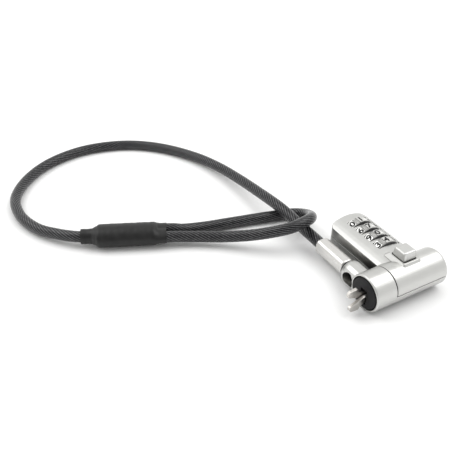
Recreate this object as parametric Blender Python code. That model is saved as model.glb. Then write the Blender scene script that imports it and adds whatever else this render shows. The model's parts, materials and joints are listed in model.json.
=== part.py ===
"""Laptop cable lock: four code wheels, a push button, a spreading T-tongue and a looped steel cable.

World axes: +X along the wheel axle away from the barrel, +Y out of the barrel's front, +Z up.
The lock lies on Z = 0, and its housing's box is centred on the origin. Units are metres.
"""

import math

import bmesh
import bpy
from mathutils import Vector
from mathutils.geometry import interpolate_bezier

GAP = 0.0003

# Barrel, along Y
BARREL_X = -0.01445
BARREL_Z = 0.0076
BARREL_R = 0.0076
BARREL_BACK = -0.0213
RIM_Y = 0.0139
COLLAR_BACK = 0.0045
BARREL_BORE_R = 0.0063
COLLAR_BORE_R = 0.0058
PAD_R = 0.0065
PAD_BACK = 0.0125
PAD_FRONT = 0.0143

# Flat body beside the barrel
BODY_BACK = -0.0152
BODY_FRONT = 0.0030
BODY_END = 0.02205
BODY_START = BARREL_X + 0.0031
BODY_SIDE_TOP = 0.0120
BODY_CROWN = 0.0145
BODY_CORNER_R = 0.0028
WALL = 0.0012
BACK_WALL = 0.0006
PARTING_Z = 0.0076
CAVITY_START = -0.0105
CAVITY_TOP = 0.0112

# Code wheels
WHEEL_COUNT = 4
WHEEL_PITCH = 0.0053
WHEEL_FIRST_X = -0.0003
WHEEL_WIDTH = 0.0035
WHEEL_R = 0.0068
WHEEL_VALLEY_R = 0.0065
WHEEL_BORE_R = 0.0034
AXLE_Y = -0.0075
AXLE_Z = 0.0090
AXLE_R = 0.0013
AXLE_START = -0.0059
AXLE_END = 0.0202
SLEEVE_R = 0.0031

# Push button and its drive
BUTTON_X = -0.0115
BUTTON_Y = -0.0065
BUTTON_TOP = 0.01925
BUTTON_BOTTOM = 0.0136
BUTTON_BASE_HALF = (0.0034, 0.0031)
BUTTON_TOP_HALF = (0.0028, 0.0028)
PEDESTAL_TOP = 0.0155
PEDESTAL_BASE = 0.0120
SPRING_X = -0.0102
SPRING_Y = -0.0070
SPRING_R = 0.0018
SPRING_WIRE_R = 0.0003
SPRING_TURNS = 4.5
SEAT_R = 0.0026

# Tongue
JAW_PIVOT_Y = 0.0094
JAW_Z = 0.0064
JAW_THICKNESS = 0.0013
JAW_OFFSET = 0.0008
PIVOT_R = 0.0009

# Swivel and cable
SWIVEL_Y = 0.0088
SWIVEL_Z = 0.0063
EAR_END = 0.0007
EAR_TIP_R = 0.0038
EAR_DOME = 0.0036
EAR_BOTTOM = 0.0015
EAR_TOP = 0.0115
POCKET_X = -0.0043
POCKET_R = 0.0031
STUD_R = 0.0013
RING_X = 0.00128
RING_R = 0.0031
RING_WIRE_R = 0.0004
SLEEVE_START = 0.00185
SLEEVE_END = 0.01905
CRIMP_R = 0.00315
CABLE_R = 0.0025
SHRINK_WALL = 0.0008

# Cable route, millimetres: from the sleeve, over and under its own eye, round to the crimp.
MAIN_ROUTE = [
    (19.35, 8.8, 6.3), (25, 8.8, 6.3), (31, 9.1, 6.6), (42, 10.0, 7.9), (50, 10.5, 8.2),
    (63, 10.8, 7.0), (82, 11.7, 5.2), (100, 14.0, 3.9), (117, 19.0, 3.0), (134, 28.8, 2.55),
    (146, 41.5, 2.55), (152.5, 56, 2.55), (154, 72, 2.55), (149, 89, 2.55), (138, 103, 2.55),
    (123, 112.2, 2.55), (107, 113.6, 2.55), (93, 109.5, 2.8), (83, 102.9, 3.8), (74.95, 94.82, 4.6),
]
EYE_ROUTE = [
    (61.68, 58.44, 4.6), (59.7, 53.6, 3.9), (58.0, 44, 2.8), (55.5, 32, 2.55), (52.4, 19, 2.55),
    (50.4, 11, 2.55), (47.8, 4.3, 3.0), (43.0, 1.4, 4.8), (36.2, 2.3, 8.2), (30.6, 6.6, 11.6),
    (28.3, 12.0, 12.6), (28.6, 18.0, 11.8), (32.0, 24.5, 9.8), (38.0, 32.0, 6.9),
    (45.0, 41.0, 4.8), (51.5, 50.8, 4.2), (56.39, 60.83, 4.6),
]
CABLE_STEP = 0.0072
CRIMP_START = (0.0748, 0.0945)
CRIMP_FINISH = (0.0592, 0.0600)
CRIMP_Z = 0.0046
SHRINK_HALF = (0.0060, 0.0046)
SHRINK_NECK_HALF = (0.0034, 0.0034)
SHRINK_EYE_HALF = (0.0062, 0.0034)
FERRULE_HALF = (0.0048, 0.0034)


def material(name, colour, metallic, roughness):
    """A Principled material, made once for each name."""
    if name in bpy.data.materials:
        return bpy.data.materials[name]
    made = bpy.data.materials.new(name)
    made.use_nodes = True
    shader = made.node_tree.nodes["Principled BSDF"]
    shader.inputs["Base Color"].default_value = (*colour, 1.0)
    shader.inputs["Metallic"].default_value = metallic
    shader.inputs["Roughness"].default_value = roughness
    return made


def mesh_object(name, mesh_data, finish=None, origin=(0.0, 0.0, 0.0)):
    """Links a bmesh as an object whose origin is given in world coordinates; no finish makes it a helper."""
    bmesh.ops.recalc_face_normals(mesh_data, faces=mesh_data.faces)
    bmesh.ops.translate(mesh_data, verts=mesh_data.verts, vec=-Vector(origin))
    mesh = bpy.data.meshes.new(name)
    mesh_data.to_mesh(mesh)
    mesh_data.free()
    made = bpy.data.objects.new(name, mesh)
    made.location = origin
    bpy.context.scene.collection.objects.link(made)
    if finish is None:
        made.hide_render = True
        made.display_type = "WIRE"
    else:
        mesh.materials.append(finish)
        mesh.shade_smooth()
        mesh.set_sharp_from_angle(angle=math.radians(35))
    return made


def placed(axis, along, u, v):
    """A point from its place along an axis and its two other coordinates, in X, Y, Z order."""
    if axis == "X":
        return (along, u, v)
    if axis == "Y":
        return (u, along, v)
    return (u, v, along)


def loft(name, sections, axis, finish=None, origin=(0.0, 0.0, 0.0)):
    """A closed body through outlines of equal point count: sections is [(along, [(u, v), ...]), ...]."""
    shape = bmesh.new()
    rings = [[shape.verts.new(placed(axis, along, u, v)) for u, v in outline] for along, outline in sections]
    count = len(rings[0])
    for low, high in zip(rings, rings[1:]):
        for i in range(count):
            j = (i + 1) % count
            shape.faces.new((low[i], low[j], high[j], high[i]))
    shape.faces.new(list(reversed(rings[0])))
    shape.faces.new(rings[-1])
    return mesh_object(name, shape, finish, origin)


def prism(name, outline, axis, start, end, finish=None, origin=(0.0, 0.0, 0.0)):
    return loft(name, [(start, outline), (end, outline)], axis, finish, origin)


def box(name, low, high, finish=None):
    outline = [(low[0], low[1]), (high[0], low[1]), (high[0], high[1]), (low[0], high[1])]
    return prism(name, outline, "Z", low[2], high[2], finish)


def circle(u, v, radius, count):
    turn = 2 * math.pi / count
    return [(u + radius * math.cos(turn * i), v + radius * math.sin(turn * i)) for i in range(count)]


def rounded_rectangle(u, v, half_u, half_v, radius, steps=4):
    """An anticlockwise outline centred on (u, v)."""
    points = []
    for corner, (sign_u, sign_v) in enumerate(((1, 1), (-1, 1), (-1, -1), (1, -1))):
        for step in range(steps + 1):
            angle = math.pi / 2 * (corner + step / steps)
            points.append((
                u + sign_u * (half_u - radius) + radius * math.cos(angle),
                v + sign_v * (half_v - radius) + radius * math.sin(angle),
            ))
    return points


def turned(name, profile, axis, u, v, count, finish=None):
    """A solid of revolution about an axis through (u, v): profile is [(along, radius), ...]."""
    return loft(name, [(along, circle(u, v, radius, count)) for along, radius in profile], axis, finish)


def tube(name, start, end, outer, inner, axis, u, v, count, finish):
    """A straight tube, as one closed ring-shaped body."""
    shape = bmesh.new()
    loops = []
    for along, radius in ((start, outer), (end, outer), (end, inner), (start, inner)):
        loops.append([shape.verts.new(placed(axis, along, a, b)) for a, b in circle(u, v, radius, count)])
    for first, second in zip(loops, loops[1:] + loops[:1]):
        for i in range(count):
            j = (i + 1) % count
            shape.faces.new((first[i], first[j], second[j], second[i]))
    return mesh_object(name, shape, finish, placed(axis, (start + end) / 2, u, v))


def combine(target, other, operation):
    modifier = target.modifiers.new(other.name, "BOOLEAN")
    modifier.object = other
    modifier.operation = operation
    modifier.solver = "EXACT"


def cut(target, *cutters):
    for cutter in cutters:
        combine(target, cutter, "DIFFERENCE")


def join(target, *others):
    for other in others:
        combine(target, other, "UNION")


def crowned_section():
    """The body's outline across its width, with rounded lower edges and an arched top."""
    middle = (BODY_BACK + BODY_FRONT) / 2
    half = (BODY_FRONT - BODY_BACK) / 2
    edge = 0.0018
    points = []
    for step in range(5):
        angle = math.pi + math.pi / 2 * step / 4
        points.append((BODY_BACK + edge + edge * math.cos(angle), edge + edge * math.sin(angle)))
    for step in range(5):
        angle = -math.pi / 2 + math.pi / 2 * step / 4
        points.append((BODY_FRONT - edge + edge * math.cos(angle), edge + edge * math.sin(angle)))
    for step in range(13):
        across = 1 - 2 * step / 12
        height = BODY_SIDE_TOP + (BODY_CROWN - BODY_SIDE_TOP) * (1 - across * across)
        points.append((middle + half * across, height))
    return points


def body_plan():
    """The body from above: square at the barrel, rounded at its far corners."""
    points = [(BARREL_X, BODY_BACK - 0.001), (BODY_END - BODY_CORNER_R, BODY_BACK - 0.001)]
    for centre_y, start in ((BODY_BACK + BODY_CORNER_R, -90), (BODY_FRONT - BODY_CORNER_R, 0)):
        for step in range(7):
            angle = math.radians(start + 15 * step)
            points.append((
                BODY_END - BODY_CORNER_R + BODY_CORNER_R * math.cos(angle),
                centre_y + BODY_CORNER_R * math.sin(angle),
            ))
    points.append((BODY_END - BODY_CORNER_R, BODY_FRONT + 0.001))
    points.append((BARREL_X, BODY_FRONT + 0.001))
    return points


def barrel_profile():
    edge = 0.0015
    points = []
    for step in range(5):
        angle = math.pi / 2 * step / 4
        points.append((BARREL_BACK + edge - edge * math.cos(angle), BARREL_R - edge + edge * math.sin(angle)))
    points.append((RIM_Y - 0.0003, BARREL_R))
    points.append((RIM_Y, BARREL_R - 0.0003))
    return points


def screw_places():
    return ((-0.0049, 0.0002), (-0.0049, -0.0130), (0.0196, 0.0002), (0.0196, -0.0124))


def form_helpers():
    """The shapes that both housing halves are built from."""
    helpers = {}
    helpers["plan"] = prism("plan_form", body_plan(), "Z", -0.001, 0.030)
    helpers["barrel"] = turned("barrel_form", barrel_profile(), "Y", BARREL_X, BARREL_Z, 56)
    ear_half = ((RIM_Y - COLLAR_BACK) / 2 - 0.00012, (EAR_TOP - EAR_BOTTOM) / 2)
    ear_middle = ((RIM_Y + COLLAR_BACK) / 2, (EAR_TOP + EAR_BOTTOM) / 2)
    ear = []
    ear.append((BARREL_X + 0.004, rounded_rectangle(*ear_middle, *ear_half, 0.0042)))
    for step in range(7):
        turn = math.pi / 2 * step / 6
        half = [full + (EAR_TIP_R - full) * (1 - math.cos(turn)) for full in ear_half]
        middle = [full + (tip - full) * (1 - math.cos(turn)) for full, tip in zip(ear_middle, (SWIVEL_Y, SWIVEL_Z))]
        along = EAR_END - EAR_DOME + EAR_DOME * math.sin(turn)
        corner = min(0.0042, min(half) - 0.00002)
        ear.append((along, rounded_rectangle(*middle, *half, corner)))
    helpers["ear"] = loft("ear_form", ear, "X")
    sections = []
    for height, half_x, half_y in ((PEDESTAL_BASE, 0.0061, 0.0054), (PEDESTAL_TOP, 0.0044, 0.0041)):
        outline = rounded_rectangle(BUTTON_X, BUTTON_Y, half_x, half_y, 0.0008, 2)
        sections.append((height, outline))
    helpers["pedestal"] = loft("pedestal_form", sections, "Z")
    return helpers


def cavity_cutters():
    """The hollows shared by the two halves."""
    bore = turned("bore_cut", [(BARREL_BACK + 0.0015, BARREL_BORE_R), (COLLAR_BACK - 0.0002, BARREL_BORE_R)],
                  "Y", BARREL_X, BARREL_Z, 40)
    room = box("room_cut", (CAVITY_START, BODY_BACK + BACK_WALL, WALL - 0.0001),
               (BODY_END - 0.0013, BODY_FRONT - WALL, CAVITY_TOP))
    return bore, room


def lower_housing(helpers, bore, room):
    finish = material("satin_zinc", (0.78, 0.78, 0.77), 1.0, 0.32)
    housing = prism("lower_housing", crowned_section(), "X", BODY_START, BODY_END + 0.001, finish)
    combine(housing, helpers["plan"], "INTERSECT")
    join(housing, helpers["barrel"], helpers["ear"])
    cut(housing, box("upper_region", (-0.03, -0.03, PARTING_Z - GAP / 2), (0.03, COLLAR_BACK, 0.03)))
    cut(housing, bore, room)
    front_bore = turned("front_bore_cut", [(COLLAR_BACK - 0.0008, COLLAR_BORE_R), (PAD_BACK, COLLAR_BORE_R)],
                        "Y", BARREL_X, BARREL_Z, 40)
    recess = turned("pad_recess_cut", [(PAD_BACK - GAP, PAD_R + GAP), (RIM_Y + 0.001, PAD_R + GAP)],
                    "Y", BARREL_X, BARREL_Z, 40)
    pocket = turned("pocket_cut", [(0.0058, POCKET_R), (RIM_Y + 0.001, POCKET_R)], "Y", POCKET_X, SWIVEL_Z, 28)
    stud_hole = turned("stud_hole_cut", [(POCKET_X, STUD_R + GAP), (EAR_END + 0.001, STUD_R + GAP)],
                       "X", SWIVEL_Y, SWIVEL_Z, 20)
    spring_seat = turned("spring_seat_cut", [(0.0011, SEAT_R), (0.0090, SEAT_R)], "Z", SPRING_X, SPRING_Y, 20)
    cut(housing, front_bore, recess, pocket, stud_hole, spring_seat)
    for i, x in enumerate((AXLE_START + 0.0004, AXLE_END - 0.0013)):
        join(housing, box(f"axle_post_{i}", (x, AXLE_Y - 0.0014, 0.0006), (x + 0.0009, AXLE_Y + 0.0014,
                          PARTING_Z - GAP)))
    for i, (x, y) in enumerate(screw_places()):
        join(housing, turned(f"post_{i}", [(0.0006, 0.00135), (PARTING_Z - GAP, 0.00135)], "Z", x, y, 16))
        cut(housing, turned(f"screw_way_{i}", [(-0.001, 0.0009), (0.012, 0.0009)], "Z", x, y, 16))
        cut(housing, turned(f"head_way_{i}", [(-0.001, 0.0015), (0.0010, 0.0015)], "Z", x, y, 16))


def upper_cover(helpers, bore, room):
    finish = material("satin_zinc", (0.78, 0.78, 0.77), 1.0, 0.32)
    cover = prism("upper_cover", crowned_section(), "X", BODY_START, BODY_END + 0.001, finish)
    combine(cover, helpers["plan"], "INTERSECT")
    join(cover, helpers["barrel"], helpers["pedestal"])
    cut(cover, box("lower_region", (-0.03, -0.03, -0.001), (0.03, 0.03, PARTING_Z + GAP / 2)))
    cut(cover, box("collar_region", (-0.03, COLLAR_BACK - GAP, 0.001), (0.03, 0.03, 0.03)))
    cut(cover, bore, room)
    half_x = BUTTON_BASE_HALF[0] + GAP
    half_y = BUTTON_BASE_HALF[1] + GAP
    cut(cover, box("button_way", (BUTTON_X - half_x, BUTTON_Y - half_y, 0.009),
                   (BUTTON_X + half_x, BUTTON_Y + half_y, 0.020)))
    for i in range(WHEEL_COUNT):
        middle = WHEEL_FIRST_X + WHEEL_PITCH * i
        half = WHEEL_WIDTH / 2 + 0.00022
        cut(cover, turned(f"wheel_way_{i}", [(middle - half, WHEEL_R + 0.00025), (middle + half, WHEEL_R + 0.00025)],
                          "X", AXLE_Y, AXLE_Z, 40))
    for i, (x, y) in enumerate(screw_places()):
        join(cover, turned(f"boss_{i}", [(PARTING_Z + GAP, 0.00135), (CAVITY_TOP + 0.0006, 0.00135)], "Z", x, y, 16))
        cut(cover, turned(f"boss_hole_{i}", [(0.006, 0.0009), (0.0108, 0.0009)], "Z", x, y, 16))


def front_pad():
    finish = material("black_rubber", (0.015, 0.015, 0.016), 0.0, 0.6)
    profile = [(PAD_BACK, PAD_R), (PAD_FRONT - 0.0008, PAD_R), (PAD_FRONT - 0.0002, PAD_R - 0.0003),
               (PAD_FRONT, PAD_R - 0.0009)]
    pad = turned("front_pad", profile, "Y", BARREL_X, BARREL_Z, 40, finish)
    half = JAW_OFFSET + JAW_THICKNESS / 2 + GAP
    cut(pad, box("pad_slot_cut", (BARREL_X - half, 0.010, JAW_Z - 0.0031), (BARREL_X + half, 0.016, JAW_Z + 0.0031)))


def jaw_outline(side):
    """One blade at rest, hooked outwards on the given side: its tail crosses the pivot to the other side."""
    shape = [(1.5, -2.3), (5.0, -2.0), (8.2, -1.8), (10.5, -1.7), (14.4, -0.9), (18.0, 0.5), (21.0, 1.7),
             (21.3, 2.0), (21.3, 3.2), (20.4, 4.2), (17.4, 4.5), (16.7, 4.1), (16.5, 3.0), (14.4, 2.3),
             (10.6, 1.9), (8.2, 1.5), (5.0, 0.1), (1.5, -0.9)]
    return [(y / 1000, JAW_Z + side * z / 1000) for y, z in shape]


def tongue():
    steel = material("jaw_steel", (0.72, 0.70, 0.67), 1.0, 0.25)
    for name, side in (("jaw_upper", 1), ("jaw_lower", -1)):
        middle = BARREL_X + side * JAW_OFFSET
        jaw = prism(name, jaw_outline(side), "X", middle - JAW_THICKNESS / 2, middle + JAW_THICKNESS / 2, steel,
                    (BARREL_X, JAW_PIVOT_Y, JAW_Z))
        cut(jaw, turned(f"{name}_hole_cut", [(middle - 0.002, PIVOT_R + 0.0002), (middle + 0.002, PIVOT_R + 0.0002)],
                        "X", JAW_PIVOT_Y, JAW_Z, 16))
    turned("jaw_pivot_pin", [(BARREL_X - 0.0050, PIVOT_R), (BARREL_X + 0.0050, PIVOT_R)],
           "X", JAW_PIVOT_Y, JAW_Z, 16, steel)
    carrier = turned("jaw_carrier", [(0.0050, COLLAR_BORE_R - GAP), (PAD_BACK - GAP, COLLAR_BORE_R - GAP)],
                     "Y", BARREL_X, BARREL_Z, 32, material("sintered_steel", (0.45, 0.44, 0.43), 1.0, 0.5))
    half = JAW_OFFSET + JAW_THICKNESS / 2 + GAP
    cut(carrier, box("jaw_way_cut", (BARREL_X - half, 0, JAW_Z - 0.0032), (BARREL_X + half, 0.02, JAW_Z + 0.0034)))
    cut(carrier, turned("pin_way_cut", [(BARREL_X - 0.008, PIVOT_R + 0.0002), (BARREL_X + 0.008, PIVOT_R + 0.0002)],
                        "X", JAW_PIVOT_Y, JAW_Z, 16))


def drive():
    """The parts between the button and the tongue's tails: an actuator wedge and a forked slider."""
    steel = material("sintered_steel", (0.45, 0.44, 0.43), 1.0, 0.5)
    wedge = [(-0.00655, 0.0063), (-0.0035, 0.00935), (-0.0035, 0.0130), (-0.0093, 0.0130), (-0.0093, 0.0063)]
    prism("actuator", wedge, "X", -0.0160, -0.0080, steel)
    fork = [(0.0022, 0.0046), (0.0022, 0.0030), (-0.0012, 0.0011), (-0.0012, -0.0011), (0.0022, -0.0030),
            (0.0022, -0.0046), (-0.0059, -0.0046), (-0.0059, 0.0001), (-0.0014, 0.0046)]
    prism("jaw_slider", [(y, JAW_Z + z) for y, z in fork], "X", BARREL_X - 0.0018, BARREL_X + 0.0018, steel)


def push_button():
    finish = material("button_zinc", (0.80, 0.80, 0.79), 1.0, 0.28)
    sections = []
    for height, share, inset in ((0, 0, 0), (0.93, 0.9, 0), (0.985, 1, 0.0002), (1, 1, 0.0006)):
        half_x = BUTTON_BASE_HALF[0] + (BUTTON_TOP_HALF[0] - BUTTON_BASE_HALF[0]) * share - inset
        half_y = BUTTON_BASE_HALF[1] + (BUTTON_TOP_HALF[1] - BUTTON_BASE_HALF[1]) * share - inset
        outline = rounded_rectangle(BUTTON_X, BUTTON_Y, half_x, half_y, 0.0006, 2)
        sections.append((BUTTON_BOTTOM + (BUTTON_TOP - BUTTON_BOTTOM) * height, outline))
    loft("push_button", sections, "Z", finish, (BUTTON_X, BUTTON_Y, BUTTON_BOTTOM))


def wire(name, points, radius, sides, finish):
    """A round bar of the given radius through the points, with closed ends."""
    data = bpy.data.curves.new(name, "CURVE")
    data.dimensions = "3D"
    data.bevel_depth = radius
    data.bevel_resolution = sides
    data.use_fill_caps = True
    spline = data.splines.new("POLY")
    spline.points.add(len(points) - 1)
    for point, place in zip(spline.points, points):
        point.co = (*place, 1.0)
    data.materials.append(finish)
    made = bpy.data.objects.new(name, data)
    bpy.context.scene.collection.objects.link(made)


def button_spring():
    low = 0.0011 + GAP + SPRING_WIRE_R
    high = 0.0063 - GAP - SPRING_WIRE_R
    steps = int(SPRING_TURNS * 14)
    points = []
    for step in range(steps + 1):
        angle = 2 * math.pi * SPRING_TURNS * step / steps
        height = low + (high - low) * step / steps
        points.append((SPRING_X + SPRING_R * math.cos(angle), SPRING_Y + SPRING_R * math.sin(angle), height))
    wire("button_spring", points, SPRING_WIRE_R, 1, material("spring_steel", (0.6, 0.6, 0.6), 1.0, 0.3))


def wheel_rim():
    """The wheel's outline: ten flush digit pads with a shallower grip stretch after each."""
    points = []
    for digit in range(10):
        for offset, radius in ((-9, WHEEL_R), (0, WHEEL_R), (9, WHEEL_R), (10, WHEEL_VALLEY_R), (26, WHEEL_VALLEY_R)):
            angle = math.radians(90 + 36 * digit + offset)
            points.append((AXLE_Y + radius * math.cos(angle), AXLE_Z + radius * math.sin(angle)))
    return points


def code_wheels():
    rim = material("wheel_zinc", (0.62, 0.62, 0.61), 1.0, 0.38)
    dark = material("clutch_steel", (0.30, 0.30, 0.30), 1.0, 0.5)
    for i in range(WHEEL_COUNT):
        middle = WHEEL_FIRST_X + WHEEL_PITCH * i
        start = middle - WHEEL_WIDTH / 2
        end = middle + WHEEL_WIDTH / 2
        origin = (middle, AXLE_Y, AXLE_Z)
        wheel = prism(f"code_wheel_{i + 1}", wheel_rim(), "X", start, end, rim, origin)
        cut(wheel, turned(f"wheel_bore_{i}", [(start - 0.001, WHEEL_BORE_R), (end + 0.001, WHEEL_BORE_R)],
                          "X", AXLE_Y, AXLE_Z, 24))
        sleeve = tube(f"clutch_sleeve_{i + 1}", start, end, SLEEVE_R, AXLE_R + GAP, "X", AXLE_Y, AXLE_Z, 20, dark)
        cut(sleeve, box(f"gate_cut_{i}", (start - 0.001, AXLE_Y - 0.0005, AXLE_Z - 0.004),
                        (end + 0.001, AXLE_Y + 0.0005, AXLE_Z - 0.0023)))
    turned("dial_axle", [(AXLE_START, AXLE_R), (AXLE_END, AXLE_R)], "X", AXLE_Y, AXLE_Z, 16,
           material("spring_steel", (0.6, 0.6, 0.6), 1.0, 0.3))


def detent_spring():
    """A leaf with one finger under each wheel, read as a comb from above."""
    outline = [(-0.0022, -0.0008), (-0.0022, 0.0014)]
    outline += [(0.0179, 0.0014), (0.0179, -0.0008)]
    for i in reversed(range(WHEEL_COUNT)):
        middle = WHEEL_FIRST_X + WHEEL_PITCH * i
        outline += [(middle + 0.0012, -0.0008), (middle + 0.0012, -0.0085), (middle - 0.0012, -0.0085),
                    (middle - 0.0012, -0.0008)]
    prism("detent_spring", outline, "Z", 0.00145, 0.0018, material("spring_steel", (0.6, 0.6, 0.6), 1.0, 0.3))


def housing_screws():
    finish = material("screw_steel", (0.35, 0.35, 0.36), 1.0, 0.35)
    for i, (x, y) in enumerate(screw_places()):
        profile = [(0.0001, 0.0012), (0.0007, 0.0012), (0.0007, 0.0006), (0.0102, 0.0006)]
        screw = turned(f"housing_screw_{i + 1}", profile, "Z", x, y, 14, finish)
        cut(screw, prism(f"drive_cut_{i}", circle(x, y, 0.0005, 6), "Z", -0.001, 0.0004))


def swivel():
    steel = material("jaw_steel", (0.72, 0.70, 0.67), 1.0, 0.25)
    profile = [(POCKET_X - 0.0012, 0.0023), (POCKET_X + 0.0006, 0.0023), (POCKET_X + 0.0008, STUD_R),
               (SLEEVE_START + 0.0026, STUD_R)]
    turned("swivel_stud", profile, "X", SWIVEL_Y, SWIVEL_Z, 20, steel)
    ring = bmesh.new()
    loops = []
    for step in range(24):
        turn = 2 * math.pi * step / 24
        loop = []
        for part in range(8):
            angle = 2 * math.pi * part / 8
            radius = RING_R + RING_WIRE_R * math.cos(angle)
            place = (RING_X + RING_WIRE_R * math.sin(angle), SWIVEL_Y + radius * math.cos(turn),
                     SWIVEL_Z + radius * math.sin(turn))
            loop.append(ring.verts.new(place))
        loops.append(loop)
    for first, second in zip(loops, loops[1:] + loops[:1]):
        for i in range(8):
            j = (i + 1) % 8
            ring.faces.new((first[i], first[j], second[j], second[i]))
    mesh_object("swivel_ring", ring, material("black_rubber", (0.015, 0.015, 0.016), 0.0, 0.6),
                (RING_X, SWIVEL_Y, SWIVEL_Z))
    nickel = material("sleeve_nickel", (0.66, 0.65, 0.63), 1.0, 0.3)
    sections = []
    for along, inset in ((SLEEVE_START, 0.0004), (SLEEVE_START + 0.0005, 0), (SLEEVE_END - 0.0006, 0),
                         (SLEEVE_END, 0.0005)):
        half = CRIMP_R - inset
        sections.append((along, rounded_rectangle(SWIVEL_Y, SWIVEL_Z, half, half, 0.0021 - inset)))
    crimp = loft("cable_sleeve", sections, "X", nickel, (SLEEVE_START, SWIVEL_Y, SWIVEL_Z))
    cut(crimp, turned("sleeve_bore_cut", [(SLEEVE_START - 0.001, STUD_R + GAP), (SLEEVE_START + 0.0030, STUD_R + GAP)],
                      "X", SWIVEL_Y, SWIVEL_Z, 16))


def smooth_route(route_mm):
    """Points at an even spacing along a smooth curve through the route's points."""
    places = [Vector(place) / 1000 for place in route_mm]
    ends = [2 * places[0] - places[1]] + places + [2 * places[-1] - places[-2]]
    dense = []
    for before, start, finish, after in zip(ends, ends[1:], ends[2:], ends[3:]):
        leave = start + (finish - before) / 6
        arrive = finish - (after - start) / 6
        dense += interpolate_bezier(start, leave, arrive, finish, 24)[:-1]
    dense.append(places[-1])
    total = sum((b - a).length for a, b in zip(dense, dense[1:]))
    count = max(2, round(total / CABLE_STEP))
    points = [dense[0]]
    travelled = 0.0
    for a, b in zip(dense, dense[1:]):
        piece = (b - a).length
        while piece > 0 and travelled + piece >= total * len(points) / count and len(points) < count:
            points.append(a.lerp(b, (total * len(points) / count - travelled) / piece))
        travelled += piece
    points.append(dense[-1])
    return points


def crimp_section(share, half_across, half_up, count=20):
    """A flattened ring round the crimp's axis, as points in the world."""
    start = Vector((*CRIMP_START, CRIMP_Z))
    finish = Vector((*CRIMP_FINISH, CRIMP_Z))
    along = (finish - start).normalized()
    side = Vector((0, 0, 1)).cross(along)
    centre = start.lerp(finish, share)
    ring = []
    for i in range(count):
        angle = 2 * math.pi * i / count
        ring.append(centre + side * (half_across * math.cos(angle)) + Vector((0, 0, half_up * math.sin(angle))))
    return ring


def ring_body(name, sections, closed, finish):
    shape = bmesh.new()
    loops = [[shape.verts.new(point) for point in ring] for ring in sections]
    pairs = list(zip(loops, loops[1:] + loops[:1])) if closed else list(zip(loops, loops[1:]))
    for first, second in pairs:
        for i in range(len(first)):
            j = (i + 1) % len(first)
            shape.faces.new((first[i], first[j], second[j], second[i]))
    if not closed:
        shape.faces.new(list(reversed(loops[0])))
        shape.faces.new(loops[-1])
    mesh_object(name, shape, finish)


def cable():
    sheath = material("cable_sheath", (0.10, 0.10, 0.11), 0.3, 0.25)
    wire("cable_main", smooth_route(MAIN_ROUTE), CABLE_R, 3, sheath)
    wire("cable_eye", smooth_route(EYE_ROUTE), CABLE_R, 3, sheath)
    ferrule = [crimp_section(share, *FERRULE_HALF) for share in (0.22, 0.78)]
    ring_body("crimp_ferrule", ferrule, False, material("ferrule_aluminium", (0.7, 0.7, 0.7), 1.0, 0.4))
    outside = ((0.0, *SHRINK_NECK_HALF), (0.10, *SHRINK_NECK_HALF), (0.20, *SHRINK_HALF), (0.80, *SHRINK_HALF),
               (0.88, *SHRINK_EYE_HALF), (1.0, *SHRINK_EYE_HALF))
    sections = [crimp_section(share, across, up) for share, across, up in outside]
    for share, across, up in reversed(outside):
        sections.append(crimp_section(share, across - SHRINK_WALL + 0.0002, up - SHRINK_WALL + 0.0002))
    ring_body("heat_shrink", sections, True, material("shrink_black", (0.02, 0.02, 0.02), 0.0, 0.35))


def clear_scene():
    for thing in list(bpy.data.objects):
        bpy.data.objects.remove(thing)


def main():
    clear_scene()
    helpers = form_helpers()
    bore, room = cavity_cutters()
    lower_housing(helpers, bore, room)
    upper_cover(helpers, bore, room)
    front_pad()
    tongue()
    drive()
    push_button()
    button_spring()
    code_wheels()
    detent_spring()
    housing_screws()
    swivel()
    cable()


main()
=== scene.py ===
import json
import math

import bmesh
import bpy
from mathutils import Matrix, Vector
from mathutils.geometry import interpolate_bezier


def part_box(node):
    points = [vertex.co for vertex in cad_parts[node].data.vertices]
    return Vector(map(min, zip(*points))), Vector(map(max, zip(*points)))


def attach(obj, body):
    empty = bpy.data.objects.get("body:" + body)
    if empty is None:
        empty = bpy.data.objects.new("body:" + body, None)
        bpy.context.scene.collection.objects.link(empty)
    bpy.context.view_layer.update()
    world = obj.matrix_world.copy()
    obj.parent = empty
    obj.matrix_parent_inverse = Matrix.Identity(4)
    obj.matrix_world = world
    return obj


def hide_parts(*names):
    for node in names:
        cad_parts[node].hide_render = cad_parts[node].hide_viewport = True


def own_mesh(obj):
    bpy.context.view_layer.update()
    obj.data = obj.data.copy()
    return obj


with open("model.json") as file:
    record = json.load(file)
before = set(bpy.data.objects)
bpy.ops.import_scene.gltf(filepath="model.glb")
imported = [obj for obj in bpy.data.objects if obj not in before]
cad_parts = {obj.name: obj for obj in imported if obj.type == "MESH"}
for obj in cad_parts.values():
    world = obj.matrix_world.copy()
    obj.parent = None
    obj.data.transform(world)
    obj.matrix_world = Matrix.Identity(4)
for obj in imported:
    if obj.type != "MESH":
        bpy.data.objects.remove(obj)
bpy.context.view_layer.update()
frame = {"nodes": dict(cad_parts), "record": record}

MM = 0.001

# Places that part.py also uses, in metres.
WHEEL_R = 0.0068
WHEEL_FIRST_X = -0.0003
WHEEL_PITCH = 0.0053
WHEEL_WIDTH = 0.0035
WHEEL_BORE_R = 0.0034
AXLE_Y = -0.0075
AXLE_Z = 0.0090
SWIVEL_Y = 0.0088
SWIVEL_Z = 0.0063
CABLE_R = 0.0025
CRIMP_START = (0.0748, 0.0945)
CRIMP_FINISH = (0.0592, 0.0600)
CRIMP_Z = 0.0046

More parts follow.
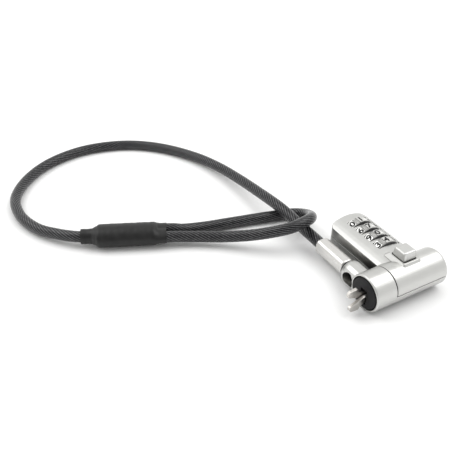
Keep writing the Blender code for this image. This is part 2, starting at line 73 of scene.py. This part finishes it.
# Cable route, millimetres: from the sleeve, over and under its own eye, round to the crimp.
# The points come from another program's reading of the photograph through the fitted camera, with the
# heights guessed, and were then thinned, rounded and adjusted by hand.
MAIN_ROUTE = [
    (19.35, 8.8, 6.3), (25, 8.8, 6.3), (31, 9.1, 6.6), (42, 10.0, 7.9), (50, 10.5, 8.2),
    (63, 10.8, 7.0), (82, 11.7, 5.2), (100, 14.0, 3.9), (117, 19.0, 3.0), (134, 28.8, 2.55),
    (146, 41.5, 2.55), (152.5, 56, 2.55), (154, 72, 2.55), (149, 89, 2.55), (138, 103, 2.55),
    (123, 112.2, 2.55), (107, 113.6, 2.55), (93, 109.5, 2.8), (83, 102.9, 3.8), (74.95, 94.82, 4.6),
]
EYE_ROUTE = [
    (61.68, 58.44, 4.6), (59.7, 53.6, 3.9), (58.0, 44, 2.8), (55.5, 32, 2.55), (52.4, 19, 2.55),
    (50.4, 11, 2.55), (47.8, 4.3, 3.0), (43.0, 1.4, 4.8), (36.2, 2.3, 8.2), (30.6, 6.6, 11.6),
    (28.3, 12.0, 12.6), (28.6, 18.0, 11.8), (32.0, 24.5, 9.8), (38.0, 32.0, 6.9),
    (45.0, 41.0, 4.8), (51.5, 50.8, 4.2), (56.39, 60.83, 4.6),
]

# Camera, the result of a least-squares fit to the photograph's perspective.
# Place in metres, angles in degrees, lens in millimetres.
CAMERA_PLACE = (-0.12841, 0.13405, 0.15188)
CAMERA_TILT = 53.996
CAMERA_TURN = -118.87
CAMERA_LENS = 44.96

# Studio. The world is dimmer in the direction that the camera stands in, like a dark card beside its lens.
DARK_CARD_SIDE = (-0.708, 0.391, 0.588)
WORLD_STEPS = ((0.0, 0.98), (0.45, 1.0), (0.72, 0.80), (0.90, 0.50), (1.0, 0.42))
WORLD_STRENGTH = 1.06
FLOOR_HALF = 1.6

# Cable
CABLE_SIDES = 54
CABLE_SPACING = 0.0009
CABLE_RIPPLE = 0.00006
STRAND_COUNT = 14
STRAND_TWIST = -0.030
CRIMP_SIDE = 0.0029

# Heat-shrink sleeve: how far along the crimp, half its width and half its height in millimetres.
SHRINK_PROFILE = (
    (0.0, 3.35, 3.35), (0.06, 3.3, 3.3), (0.12, 3.45, 3.35), (0.165, 4.7, 3.9), (0.20, 5.9, 4.5),
    (0.215, 6.0, 4.6), (0.80, 6.0, 4.6), (0.825, 6.05, 4.5), (0.86, 6.1, 3.65), (0.885, 6.05, 3.4),
    (1.0, 6.0, 3.35),
)
SHRINK_STEPS = 90
SHRINK_REACH = 0.965
SHRINK_WALL_MM = 0.65
SHRINK_RIPPLE_MM = 0.05
MOUTH_START = 0.86
MOUTH_DENT = 0.22

# Code wheels
DIGITS = 10
DIGIT_ANGLE = 36
FIRST_DIGITS = (4, 0, 7, 1)
PAD_HALF_ANGLE = 9.5
GRIP_RIDGES = 4
GRIP_DEPTH = 0.00038
RIDGE_HEIGHT = 0.00026
RIM_CHAMFER = 0.00018
FLANK_INSET = 0.00052
FLANK_SIDES = 120
DIGIT_HEIGHT = 0.0027
DIGIT_STRETCH = 1.15
FONT_CAPITAL_SHARE = 0.73
DIGIT_BOLD = 0.00012
DIGIT_DEPTH = 0.00004
DIGIT_LIFT = 0.00001
DIGIT_LONG_EDGE = 0.0004

# Seal ring, button, pedestal and spring
RING_X = 0.00128
RING_R = 0.0031
RING_WIRE_R = 0.0004
RING_SECTION_SIDES = 20
RING_SIDES = 96
BUTTON_FIT = 1.025
PEDESTAL_CORNER_MM = 0.9
PEDESTAL_CORNER_STEPS = 8
SPRING_WIRE_R = 0.0003
SPRING_TURNS = 4.5
SPRING_TURN_STEPS = 40
SPRING_SIDES = 12

# Pedestal rings: height from the button's top, half lengths along X and Y, in millimetres.
PEDESTAL_OUTSIDE = (
    (-7.25, 5.9, 5.3), (-5.05, 5.7, 5.0), (-4.85, 5.55, 4.85), (-3.75, 4.5, 4.1), (-3.55, 4.35, 3.95),
    (-3.5, 4.2, 3.8),
)
PEDESTAL_INSIDE = ((-3.55, 3.65, 3.35), (-3.7, 3.55, 3.25), (-5.6, 3.60, 3.30), (-7.25, 3.85, 3.55))


# ---------------------------------------------------------------- helpers

def link(piece):
    bpy.context.scene.collection.objects.link(piece)
    return piece


def smooth(mesh, degrees=40):
    mesh.shade_smooth()
    mesh.set_sharp_from_angle(angle=math.radians(degrees))


def piece_from(name, shape, finish, degrees=40):
    """Links a bmesh as a piece with one material."""
    bmesh.ops.recalc_face_normals(shape, faces=shape.faces)
    mesh = bpy.data.meshes.new(name)
    shape.to_mesh(mesh)
    shape.free()
    smooth(mesh, degrees)
    mesh.materials.append(finish)
    return link(bpy.data.objects.new(name, mesh))


def applied(piece):
    """Turns a piece's modifiers into its mesh."""
    graph = bpy.context.evaluated_depsgraph_get()
    mesh = bpy.data.meshes.new_from_object(piece.evaluated_get(graph))
    piece.modifiers.clear()
    piece.data = mesh


def copy_of(node, name):
    """A free copy of a CAD node's mesh."""
    source = frame["nodes"][node]
    mesh = source.data.copy()
    mesh.materials.clear()
    made = link(bpy.data.objects.new(name, mesh))
    made.matrix_world = source.matrix_world.copy()
    return made


def softened(node, name, finish, voxel, passes):
    """A CAD node remade with cast-looking rounded edges, at the same size and place."""
    made = copy_of(node, name)
    remesh = made.modifiers.new("remesh", "REMESH")
    remesh.mode = "VOXEL"
    remesh.voxel_size = voxel
    blur = made.modifiers.new("smooth", "SMOOTH")
    blur.factor = 0.5
    blur.iterations = passes
    applied(made)
    made.data.materials.clear()
    made.data.materials.append(finish)
    made.data.shade_smooth()
    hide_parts(node)
    return made


def placed_on(piece, body, slot, *nodes):
    """Puts a piece on its body, in place of the CAD nodes it stands for. The slot argument is not used."""
    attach(piece, body)
    if nodes:
        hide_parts(*nodes)


# ---------------------------------------------------------------- materials

class Nodes:
    """Short calls for building one material's node tree."""

    def __init__(self, name, **sockets):
        self.material = bpy.data.materials.new(name)
        self.material.use_nodes = True
        self.tree = self.material.node_tree
        self.shader = self.tree.nodes["Principled BSDF"]
        for key, value in sockets.items():
            self.shader.inputs[key.replace("_", " ")].default_value = value

    def add(self, kind, **settings):
        node = self.tree.nodes.new(kind)
        for key, value in settings.items():
            setattr(node, key, value)
        return node

    def wire(self, source, target):
        self.tree.links.new(source, target)

    def coordinates(self, scale=(1, 1, 1)):
        place = self.add("ShaderNodeTexCoord")
        mapping = self.add("ShaderNodeMapping")
        mapping.inputs["Scale"].default_value = scale
        self.wire(place.outputs["Object"], mapping.inputs["Vector"])
        return mapping.outputs["Vector"]

    def noise(self, scale, detail=4.0, roughness=0.55, vector=None):
        node = self.add("ShaderNodeTexNoise")
        node.inputs["Scale"].default_value = scale
        node.inputs["Detail"].default_value = detail
        node.inputs["Roughness"].default_value = roughness
        if vector is None:
            vector = self.coordinates()
        self.wire(vector, node.inputs["Vector"])
        return node.outputs["Fac"]

    def ramp(self, value, stops):
        node = self.add("ShaderNodeValToRGB")
        ramp = node.color_ramp
        while len(ramp.elements) < len(stops):
            ramp.elements.new(0.5)
        for element, (place, colour) in zip(ramp.elements, stops):
            element.position = place
            if isinstance(colour, float):
                colour = (colour, colour, colour)
            element.color = (*colour, 1.0)
        self.wire(value, node.inputs["Fac"])
        return node.outputs["Color"]

    def math(self, operation, a, b):
        node = self.add("ShaderNodeMath", operation=operation)
        for socket, value in zip(node.inputs, (a, b)):
            if isinstance(value, float):
                socket.default_value = value
            else:
                self.wire(value, socket)
        return node.outputs["Value"]

    def mix(self, share, first, second):
        """Two colours mixed by a node's output; each colour is a node's output or three numbers."""
        node = self.add("ShaderNodeMix", data_type="RGBA")
        self.wire(share, node.inputs["Factor"])
        colour_in = [s for s in node.inputs if s.type == "RGBA"]
        for socket, value in zip(colour_in, (first, second)):
            if isinstance(value, tuple):
                socket.default_value = (*value, 1.0)
            else:
                self.wire(value, socket)
        return next(s for s in node.outputs if s.type == "RGBA")

    def bump(self, height, strength, distance):
        node = self.add("ShaderNodeBump")
        node.inputs["Strength"].default_value = strength
        node.inputs["Distance"].default_value = distance
        self.wire(height, node.inputs["Height"])
        self.wire(node.outputs["Normal"], self.shader.inputs["Normal"])

    def edges(self, low, high):
        """0 on flat stretches to 1 on sharp edges, from the mesh's own pointiness: the mask for a painted edge
        highlight.
        """
        point = self.add("ShaderNodeNewGeometry").outputs["Pointiness"]
        return self.ramp(point, ((low, 0.0), (high, 1.0)))


def times(colour, factor):
    """A colour made darker or brighter, kept within 1."""
    return tuple(min(1.0, part * factor) for part in colour)


def cast_metal(name, base, rough):
    """Satin silver die-cast zinc: fine grain, faint clouds in its gloss, a painted highlight on sharp edges and
    painted shade in crevices.
    """
    n = Nodes(name, Metallic=1.0)
    clouds = n.noise(260, 3.0)
    grain = n.noise(5200, 5.0, 0.7)
    tone = n.ramp(clouds, ((0.3, times(base, 0.965)), (0.7, base)))
    # Painted highlight: sharp edges get a lighter base colour, as if they caught the light.
    painted_edge_highlight = n.edges(0.50, 0.56)
    colour = n.mix(n.math("MULTIPLY", painted_edge_highlight, 0.48), tone, times(base, 1.08))
    # Painted shade: ambient occlusion darkens the base colour in creases, slots and gaps between parts.
    shade = n.add("ShaderNodeAmbientOcclusion", samples=8)
    shade.inputs["Distance"].default_value = 0.005
    painted_crevice_shade = n.ramp(shade.outputs["AO"], ((0.25, 1.0), (0.85, 0.0)))
    n.wire(n.mix(painted_crevice_shade, colour, times(base, 0.30)), n.shader.inputs["Base Color"])
    gloss = n.ramp(clouds, ((0.25, rough - 0.04), (0.75, rough + 0.05)))
    n.wire(n.math("ADD", gloss, n.math("MULTIPLY", grain, 0.05)), n.shader.inputs["Roughness"])
    n.bump(grain, 0.12, 0.00002)
    return n.material


def brushed_metal(name, base, rough, axis):
    """Machined steel with fine lines that run along one axis."""
    n = Nodes(name, Metallic=1.0)
    scale = [1.0, 1.0, 1.0]
    scale["XYZ".index(axis)] = 0.04
    lines = n.noise(7000, 3.0, 0.6, n.coordinates(scale=tuple(scale)))
    clouds = n.noise(420, 3.0)
    colour = n.ramp(lines, ((0.3, times(base, 0.86)), (0.7, base)))
    # Painted highlight: sharp edges get a lighter base colour, as if they caught the light.
    painted_edge_highlight = n.edges(0.50, 0.57)
    n.wire(n.mix(n.math("MULTIPLY", painted_edge_highlight, 0.5), colour, times(base, 1.15)), n.shader.inputs["Base Color"])
    gloss = n.ramp(clouds, ((0.3, rough - 0.05), (0.7, rough + 0.06)))
    n.wire(n.math("ADD", gloss, n.math("MULTIPLY", lines, 0.08)), n.shader.inputs["Roughness"])
    n.bump(lines, 0.10, 0.00003)
    return n.material


def soft_black(name, base, rough, grain_scale, grain_depth, coat=0.0):
    """Rubber or shrink tube: near black, finely grained, a little uneven in gloss."""
    n = Nodes(name, Coat_Weight=coat, Coat_Roughness=0.25, Specular_IOR_Level=0.22)
    grain = n.noise(grain_scale, 4.0, 0.6)
    clouds = n.noise(300, 3.0)
    n.wire(n.ramp(clouds, ((0.3, times(base, 0.75)), (0.75, times(base, 1.35)))), n.shader.inputs["Base Color"])
    n.wire(n.ramp(clouds, ((0.25, rough - 0.06), (0.8, rough + 0.08))), n.shader.inputs["Roughness"])
    n.bump(grain, 0.25, grain_depth)
    return n.material


def cable_finish():
    """Smoked clear sheath over twisted wire: dark, with grey strands that catch light under the gloss."""
    n = Nodes("cable_sheath", Metallic=0.0, Coat_Weight=0.4, Coat_Roughness=0.08, Coat_IOR=1.42,
              Specular_IOR_Level=0.15)
    place = n.add("ShaderNodeUVMap", uv_map="sheath")
    split = n.add("ShaderNodeSeparateXYZ")
    n.wire(place.outputs["UV"], split.inputs["Vector"])
    around = split.outputs["X"]
    along = split.outputs["Y"]
    turn = n.math("ADD", n.math("MULTIPLY", around, float(STRAND_COUNT)),
                  n.math("MULTIPLY", along, STRAND_COUNT / STRAND_TWIST))
    strand = n.math("PINGPONG", turn, 0.5)
    fine = n.math("PINGPONG", n.math("ADD", n.math("MULTIPLY", around, 3.0 * STRAND_COUNT),
                                     n.math("MULTIPLY", along, -STRAND_COUNT * 2.2 / STRAND_TWIST)), 0.5)
    mottle = n.noise(900, 4.0, 0.6)
    wires = n.math("ADD", n.math("MULTIPLY", fine, 0.9), 0.35)
    lit = n.math("MULTIPLY", n.math("MULTIPLY", strand, 2.0), wires)
    lit = n.math("MULTIPLY", lit, n.math("ADD", mottle, 0.3))
    colour = n.ramp(lit, ((0.0, (0.003, 0.003, 0.004)), (0.18, (0.010, 0.010, 0.011)),
                          (0.34, (0.045, 0.045, 0.048)), (0.52, (0.14, 0.14, 0.145)),
                          (0.8, (0.34, 0.34, 0.35))))
    n.wire(colour, n.shader.inputs["Base Color"])
    n.wire(n.ramp(mottle, ((0.3, 0.28), (0.75, 0.42))), n.shader.inputs["Roughness"])
    n.bump(strand, 0.35, 0.00025)
    return n.material


def floor_finish():
    n = Nodes("floor_paper", Roughness=0.75, Specular_IOR_Level=0.2)
    clouds = n.noise(6, 2.0)
    n.wire(n.ramp(clouds, ((0.3, 0.945), (0.7, 0.96))), n.shader.inputs["Base Color"])
    return n.material


# ---------------------------------------------------------------- camera, floor and light

def camera():
    data = bpy.data.cameras.new("camera")
    data.lens = CAMERA_LENS
    data.sensor_width = 36
    data.clip_start = 0.005
    data.clip_end = 20
    made = link(bpy.data.objects.new("camera", data))
    made.location = CAMERA_PLACE
    made.rotation_euler = (math.radians(CAMERA_TILT), 0, math.radians(CAMERA_TURN))
    bpy.context.scene.camera = made


def floor():
    shape = bmesh.new()
    bmesh.ops.create_grid(shape, x_segments=24, y_segments=24, size=FLOOR_HALF)
    made = piece_from("floor", shape, floor_finish())
    made.location = (0.06, 0.03, 0)


def lamp(name, place, target, size, power):
    data = bpy.data.lights.new(name, "AREA")
    data.shape = "DISK"
    data.size = size
    data.energy = power
    made = link(bpy.data.objects.new(name, data))
    made.location = place
    aim = Vector(target) - Vector(place)
    made.rotation_euler = aim.to_track_quat("-Z", "Y").to_euler()


def studio():
    world = bpy.data.worlds.new("studio")
    bpy.context.scene.world = world
    world.use_nodes = True
    tree = world.node_tree
    back = tree.nodes["Background"]
    place = tree.nodes.new("ShaderNodeTexCoord")
    dot = tree.nodes.new("ShaderNodeVectorMath")
    dot.operation = "DOT_PRODUCT"
    dot.inputs[1].default_value = DARK_CARD_SIDE
    ramp = tree.nodes.new("ShaderNodeValToRGB")
    while len(ramp.color_ramp.elements) < len(WORLD_STEPS):
        ramp.color_ramp.elements.new(0.5)
    for element, (spot, level) in zip(ramp.color_ramp.elements, WORLD_STEPS):
        element.position = spot
        element.color = (level, level, level * 0.99, 1)
    tree.links.new(place.outputs["Generated"], dot.inputs[0])
    tree.links.new(dot.outputs["Value"], ramp.inputs["Fac"])
    tree.links.new(ramp.outputs["Color"], back.inputs["Color"])
    back.inputs["Strength"].default_value = WORLD_STRENGTH
    lamp("key", (-0.06, -0.34, 0.62), (0.02, 0.02, 0), 0.6, 1.7)
    lamp("fill", (0.36, 0.36, 0.58), (0.03, 0.03, 0), 0.6, 1.5)
    scene = bpy.context.scene
    scene.view_settings.view_transform = "Standard"
    scene.view_settings.look = "None"


# ---------------------------------------------------------------- cable

def smooth_curve(route_mm, step):
    """Evenly spaced points along a smooth curve through a route in millimetres."""
    places = [Vector(place) * MM for place in route_mm]
    ends = [2 * places[0] - places[1]] + places + [2 * places[-1] - places[-2]]
    dense = []
    for before, start, finish, after in zip(ends, ends[1:], ends[2:], ends[3:]):
        leave = start + (finish - before) / 6
        arrive = finish - (after - start) / 6
        dense += interpolate_bezier(start, leave, arrive, finish, 32)[:-1]
    dense.append(places[-1])
    lengths = [0.0]
    for a, b in zip(dense, dense[1:]):
        lengths.append(lengths[-1] + (b - a).length)
    count = max(2, round(lengths[-1] / step))
    points = []
    i = 0
    for k in range(count + 1):
        target = lengths[-1] * k / count
        while i < len(dense) - 2 and lengths[i + 1] < target:
            i += 1
        share = (target - lengths[i]) / max(1e-12, lengths[i + 1] - lengths[i])
        points.append(dense[i].lerp(dense[i + 1], min(1.0, share)))
    return points, lengths[-1]


def whole_route():
    """The main run, the hidden stretch through the crimp, and the eye, as one line."""
    start = Vector((*CRIMP_START, CRIMP_Z))
    finish = Vector((*CRIMP_FINISH, CRIMP_Z))
    side = Vector((0, 0, 1)).cross((finish - start).normalized()) * CRIMP_SIDE
    inside = [start.lerp(finish, 0.25) + side * 0.25, start.lerp(finish, 0.6) + side]
    tail = [start.lerp(finish, 0.8) - side, start.lerp(finish, 0.55) - side]
    return MAIN_ROUTE + [tuple(p / MM) for p in inside] + EYE_ROUTE + [tuple(p / MM) for p in tail]


def frames_along(points):
    """A sideways direction at each point that turns as little as the line does."""
    tangents = []
    for i in range(len(points)):
        tangents.append((points[min(i + 1, len(points) - 1)] - points[max(i - 1, 0)]).normalized())
    normal = tangents[0].orthogonal().normalized()
    frames = []
    for tangent in tangents:
        normal = (normal - tangent * normal.dot(tangent)).normalized()
        frames.append((normal, tangent.cross(normal)))
    return frames


def tube_mesh(name, points, radius, sides, finish, ripple=0.0, uv=None):
    """A round tube along the points, with a slight strand ripple and a UV map that unrolls it."""
    frames = frames_along(points)
    travelled = [0.0]
    for a, b in zip(points, points[1:]):
        travelled.append(travelled[-1] + (b - a).length)
    shape = bmesh.new()
    rings = []
    for point, (n, b), s in zip(points, frames, travelled):
        ring = []
        for k in range(sides):
            angle = 2 * math.pi * k / sides
            phase = STRAND_COUNT * (angle / (2 * math.pi) + s / STRAND_TWIST)
            r = radius - ripple * (0.5 + 0.5 * math.cos(2 * math.pi * phase))
            ring.append(shape.verts.new(point + (n * math.cos(angle) + b * math.sin(angle)) * r))
        rings.append(ring)
    layer = shape.loops.layers.uv.new(uv) if uv else None
    for i, (low, high) in enumerate(zip(rings, rings[1:])):
        for k in range(sides):
            j = (k + 1) % sides
            face = shape.faces.new((low[k], low[j], high[j], high[k]))
            if layer:
                spots = ((k, i), (k + 1, i), (k + 1, i + 1), (k, i + 1))
                for loop, (across, up) in zip(face.loops, spots):
                    loop[layer].uv = (across / sides, travelled[up])
    shape.faces.new(list(reversed(rings[0])))
    shape.faces.new(rings[-1])
    return piece_from(name, shape, finish, 60)


def crimp_ring(share, half_across, half_up, dent, count=48):
    """A loop round the crimp's axis, pinched in the middle by dent where the two strands lie side by side."""
    start = Vector((*CRIMP_START, CRIMP_Z))
    finish = Vector((*CRIMP_FINISH, CRIMP_Z))
    along = (finish - start).normalized()
    side = Vector((0, 0, 1)).cross(along)
    centre = start.lerp(finish, share)
    ring = []
    for i in range(count):
        angle = 2 * math.pi * i / count
        c = math.cos(angle)
        s = math.sin(angle)
        shrink = 1 - dent * (1 - abs(c)) ** 2
        ring.append(centre + side * (half_across * c) + Vector((0, 0, half_up * s * shrink)))
    return ring


def ring_piece(name, rings, finish, degrees=35):
    """A closed body through loops of equal point count: the last ring joins the first."""
    shape = bmesh.new()
    loops = [[shape.verts.new(point) for point in ring] for ring in rings]
    for first, second in zip(loops, loops[1:] + loops[:1]):
        for i in range(len(first)):
            j = (i + 1) % len(first)
            shape.faces.new((first[i], first[j], second[j], second[i]))
    return piece_from(name, shape, finish, degrees)


def shrink_half_sizes(t):
    """Half the sleeve's width and height at a share of the crimp's length, eased between the profile's rows."""
    for (t0, a0, u0), (t1, a1, u1) in zip(SHRINK_PROFILE, SHRINK_PROFILE[1:]):
        if t <= t1:
            share = (t - t0) / (t1 - t0)
            share = share * share * (3 - 2 * share)
            return a0 + (a1 - a0) * share, u0 + (u1 - u0) * share
    return SHRINK_PROFILE[-1][1:]


def heat_shrink():
    """The black sleeve: a narrow neck, a full middle over the ferrule, and a wide mouth at the eye."""
    rings = []
    for k in range(SHRINK_STEPS + 1):
        t = SHRINK_REACH * k / SHRINK_STEPS
        across, up = shrink_half_sizes(t)
        ripple = SHRINK_RIPPLE_MM * math.sin(t * 60) * math.sin(t * 23)
        dent = MOUTH_DENT if t > MOUTH_START else 0.0
        rings.append(crimp_ring(t, (across + ripple) * MM, (up + ripple) * MM, dent))
    for t in (SHRINK_REACH, 0.90, 0.5, 0.07, 0.0):
        across, up = shrink_half_sizes(t)
        dent = MOUTH_DENT if t > MOUTH_START else 0.0
        rings.append(crimp_ring(t, (across - SHRINK_WALL_MM) * MM, (up - SHRINK_WALL_MM) * MM, dent))
    finish = soft_black("shrink_black", (0.014, 0.014, 0.014), 0.42, 2600, 0.00004, 0.15)
    made = ring_piece("shrink_sleeve", rings, finish, 50)
    placed_on(made, "root", "shrink", "heat_shrink")
    return made


def cable():
    points, length = smooth_curve(whole_route(), CABLE_SPACING)
    made = tube_mesh("security_cable", points, CABLE_R, CABLE_SIDES, cable_finish(), CABLE_RIPPLE, "sheath")
    placed_on(made, "root", "cable", "cable_main", "cable_eye")


# ---------------------------------------------------------------- lock

def finishes():
    return {
        "housing": cast_metal("satin_zinc", (0.585, 0.585, 0.57), 0.31),
        "button": cast_metal("button_zinc", (0.61, 0.61, 0.595), 0.27),
        "wheel": cast_metal("wheel_zinc", (0.62, 0.62, 0.605), 0.34),
        "flank": soft_black("wheel_flank", (0.075, 0.075, 0.075), 0.45, 3000, 0.00003),
        "paint": soft_black("digit_paint", (0.012, 0.012, 0.012), 0.5, 5000, 0.00001),
        "rubber": soft_black("pad_rubber", (0.012, 0.012, 0.013), 0.55, 4200, 0.00005),
        "tongue_steel": brushed_metal("tongue_steel", (0.62, 0.60, 0.57), 0.26, "Y"),
        "inner_steel": brushed_metal("inner_steel", (0.36, 0.35, 0.34), 0.45, "Y"),
        "spring_steel": brushed_metal("spring_steel", (0.55, 0.55, 0.55), 0.3, "X"),
        "sleeve": brushed_metal("sleeve_nickel", (0.72, 0.71, 0.69), 0.27, "X"),
        "clutch": brushed_metal("clutch_steel", (0.22, 0.22, 0.22), 0.5, "X"),
        "screw": brushed_metal("screw_steel", (0.26, 0.26, 0.27), 0.35, "Z"),
        "ferrule": brushed_metal("ferrule_metal", (0.62, 0.62, 0.62), 0.4, "Z"),
    }


def finish_cad_nodes(looks):
    """Gives every CAD node that stays in view the material of its slot."""
    for entry in frame["record"]["subparts"]:
        look = looks.get(entry["material_slot"])
        node = frame["nodes"][entry["node"]]
        if look is None:
            continue
        if not node.material_slots:
            node.data.materials.append(look)
        for place in node.material_slots:
            place.material = look


def wheel_radius(degrees):
    """The rim's radius at an angle: ten smooth digit pads with four grip ridges between each two."""
    offset = (degrees + DIGIT_ANGLE / 2) % DIGIT_ANGLE - DIGIT_ANGLE / 2
    if abs(offset) <= PAD_HALF_ANGLE:
        return WHEEL_R
    from_pad = (offset if offset > 0 else offset + DIGIT_ANGLE) - PAD_HALF_ANGLE
    grip_angle = DIGIT_ANGLE - 2 * PAD_HALF_ANGLE
    ridge = 0.5 - 0.5 * math.cos(2 * math.pi * GRIP_RIDGES * from_pad / grip_angle)
    return WHEEL_R - GRIP_DEPTH + RIDGE_HEIGHT * ridge


def wheel_ring(x, radius_at, inset=0.0, count=720):
    """A loop round the wheel axle at x, in the world."""
    points = []
    for k in range(count):
        degrees = 360 * k / count
        angle = math.radians(90 + degrees)
        radius = radius_at(degrees) - inset
        points.append(Vector((x, AXLE_Y + radius * math.cos(angle), AXLE_Z + radius * math.sin(angle))))
    return points


def digit_piece(name, digit, middle, turn, finish):
    """One painted digit, wrapped onto its pad: baseline round the wheel, top towards +X."""
    data = bpy.data.curves.new(name, "FONT")
    data.body = str(digit)
    data.size = DIGIT_HEIGHT / FONT_CAPITAL_SHARE
    data.offset = DIGIT_BOLD
    data.extrude = DIGIT_DEPTH
    data.resolution_u = 5
    data.align_x = "CENTER"
    text = link(bpy.data.objects.new(name + "_text", data))
    bpy.context.view_layer.update()
    mesh = bpy.data.meshes.new_from_object(text.evaluated_get(bpy.context.evaluated_depsgraph_get()))
    bpy.data.objects.remove(text)
    shape = bmesh.new()
    shape.from_mesh(mesh)
    long_edges = [edge for edge in shape.edges if edge.calc_length() > DIGIT_LONG_EDGE]
    bmesh.ops.subdivide_edges(shape, edges=long_edges, cuts=2)
    bmesh.ops.remove_doubles(shape, verts=shape.verts, dist=0.000001)
    for vert in shape.verts:
        angle = math.radians(90 + turn) + DIGIT_STRETCH * vert.co.x / WHEEL_R
        radius = WHEEL_R + DIGIT_LIFT + vert.co.z * 0.5
        vert.co = Vector((middle + vert.co.y - DIGIT_HEIGHT / 2, AXLE_Y + radius * math.cos(angle),
                          AXLE_Z + radius * math.sin(angle)))
    return piece_from(name, shape, finish)


def wheel_rim(number, low, high, finish):
    """The ridged rim with chamfered edges, open at its bore."""
    rings = [wheel_ring(low, lambda a: WHEEL_BORE_R), wheel_ring(low, wheel_radius, RIM_CHAMFER),
             wheel_ring(low + RIM_CHAMFER, wheel_radius), wheel_ring(high - RIM_CHAMFER, wheel_radius),
             wheel_ring(high, wheel_radius, RIM_CHAMFER), wheel_ring(high, lambda a: WHEEL_BORE_R)]
    rim = ring_piece(f"wheel_rim_{number}", rings, finish)
    placed_on(rim, f"wheel_{number}", "wheel", f"code_wheel_{number}")


def wheel_flank(number, side, x, out, finish):
    """The thin dark disc on one face of a wheel; out is the sign of the way that the face looks."""
    outer = WHEEL_R - FLANK_INSET
    rings = [wheel_ring(x + out * 0.00002, lambda a: outer, 0, FLANK_SIDES),
             wheel_ring(x + out * 0.00011, lambda a: outer, 0.00008, FLANK_SIDES),
             wheel_ring(x + out * 0.00011, lambda a: WHEEL_BORE_R, -0.0006, FLANK_SIDES),
             wheel_ring(x + out * 0.00002, lambda a: WHEEL_BORE_R, -0.0005, FLANK_SIDES)]
    flank = ring_piece(f"wheel_flank_{side}_{number}", rings, finish)
    placed_on(flank, f"wheel_{number}", "clutch")


def code_wheels(looks):
    """Each wheel: its rim, its two flanks and its ten digits."""
    for i, first_digit in enumerate(FIRST_DIGITS):
        number = i + 1
        middle = WHEEL_FIRST_X + WHEEL_PITCH * i
        low = middle - WHEEL_WIDTH / 2
        high = middle + WHEEL_WIDTH / 2
        wheel_rim(number, low, high, looks["wheel"])
        wheel_flank(number, "near", low, -1, looks["flank"])
        wheel_flank(number, "far", high, 1, looks["flank"])
        for k in range(DIGITS):
            digit = (first_digit + k) % DIGITS
            made = digit_piece(f"digit_{number}_{digit}", digit, middle, DIGIT_ANGLE * k, looks["paint"])
            placed_on(made, f"wheel_{number}", "rubber")


def swivel_ring(looks):
    """The black seal between the ear and the cable's sleeve."""
    rings = []
    for part in range(RING_SECTION_SIDES):
        angle = -2 * math.pi * part / RING_SECTION_SIDES
        radius = RING_R + RING_WIRE_R * math.cos(angle)
        x = RING_X + RING_WIRE_R * math.sin(angle)
        ring = []
        for k in range(RING_SIDES):
            turn = 2 * math.pi * k / RING_SIDES
            ring.append(Vector((x, SWIVEL_Y + radius * math.cos(turn), SWIVEL_Z + radius * math.sin(turn))))
        rings.append(ring)
    made = ring_piece("seal_ring", rings, looks["rubber"], 60)
    placed_on(made, "root", "rubber", "swivel_ring")


def button_pedestal(looks):
    """The raised, sloping surround that the button rises out of, with its foot sunk into the cover."""
    low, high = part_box("push_button")
    centre = ((low[0] + high[0]) / 2, (low[1] + high[1]) / 2)
    rings = []
    for height, half_x, half_y in PEDESTAL_OUTSIDE + PEDESTAL_INSIDE:
        ring = []
        for corner, (sign_x, sign_y) in enumerate(((1, 1), (-1, 1), (-1, -1), (1, -1))):
            for step in range(PEDESTAL_CORNER_STEPS + 1):
                angle = math.pi / 2 * (corner + step / PEDESTAL_CORNER_STEPS)
                x = sign_x * (half_x - PEDESTAL_CORNER_MM) + PEDESTAL_CORNER_MM * math.cos(angle)
                y = sign_y * (half_y - PEDESTAL_CORNER_MM) + PEDESTAL_CORNER_MM * math.sin(angle)
                ring.append(Vector((centre[0] + x / 1000, centre[1] + y / 1000, high[2] + height / 1000)))
        rings.append(ring)
    made = ring_piece("button_pedestal", rings, looks["housing"], 28)
    placed_on(made, "root", "housing")


def return_spring(looks):
    """The button's coil spring, drawn from round wire."""
    low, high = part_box("button_spring")
    centre_x = (low[0] + high[0]) / 2
    centre_y = (low[1] + high[1]) / 2
    radius = (high[0] - low[0]) / 2 - SPRING_WIRE_R
    steps = int(SPRING_TURNS * SPRING_TURN_STEPS)
    points = []
    for step in range(steps + 1):
        angle = 2 * math.pi * SPRING_TURNS * step / steps
        height = low[2] + SPRING_WIRE_R + (high[2] - low[2] - 2 * SPRING_WIRE_R) * step / steps
        x = centre_x + radius * math.cos(angle)
        y = centre_y + radius * math.sin(angle)
        points.append(Vector((x, y, height)))
    made = tube_mesh("return_spring", points, SPRING_WIRE_R, SPRING_SIDES, looks["spring_steel"])
    placed_on(made, "root", "spring_steel", "button_spring")
    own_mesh(made)


def housing(looks):
    """The two housing halves, the button, the pad, the sleeve and the blades, with softened edges."""
    for node, name in (("lower_housing", "housing_shell"), ("upper_cover", "cover_shell")):
        made = softened(node, name, looks["housing"], 0.00014, 4)
        placed_on(made, "root", "housing")
    button = softened("push_button", "button_cap", looks["button"], 0.00010, 4)
    low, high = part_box("push_button")
    middle = [(low[i] + high[i]) / 2 for i in range(2)]
    for vert in button.data.vertices:
        vert.co.x = middle[0] + (vert.co.x - middle[0]) * BUTTON_FIT
        vert.co.y = middle[1] + (vert.co.y - middle[1]) * BUTTON_FIT
    placed_on(button, "button", "button")
    placed_on(softened("front_pad", "pad_disc", looks["rubber"], 0.00012, 3), "root", "rubber")
    placed_on(softened("cable_sleeve", "crimp_sleeve", looks["sleeve"], 0.00011, 3), "swivel", "sleeve")
    for node, body in (("jaw_upper", "upper_jaw"), ("jaw_lower", "lower_jaw")):
        blade = softened(node, node + "_blade", looks["tongue_steel"], 0.00008, 4)
        placed_on(blade, body, "tongue_steel")


def main():
    camera()
    shrink = heat_shrink()
    cable()
    floor()
    studio()
    looks = finishes()
    finish_cad_nodes(looks)
    housing(looks)
    button_pedestal(looks)
    return_spring(looks)
    code_wheels(looks)
    swivel_ring(looks)


main()
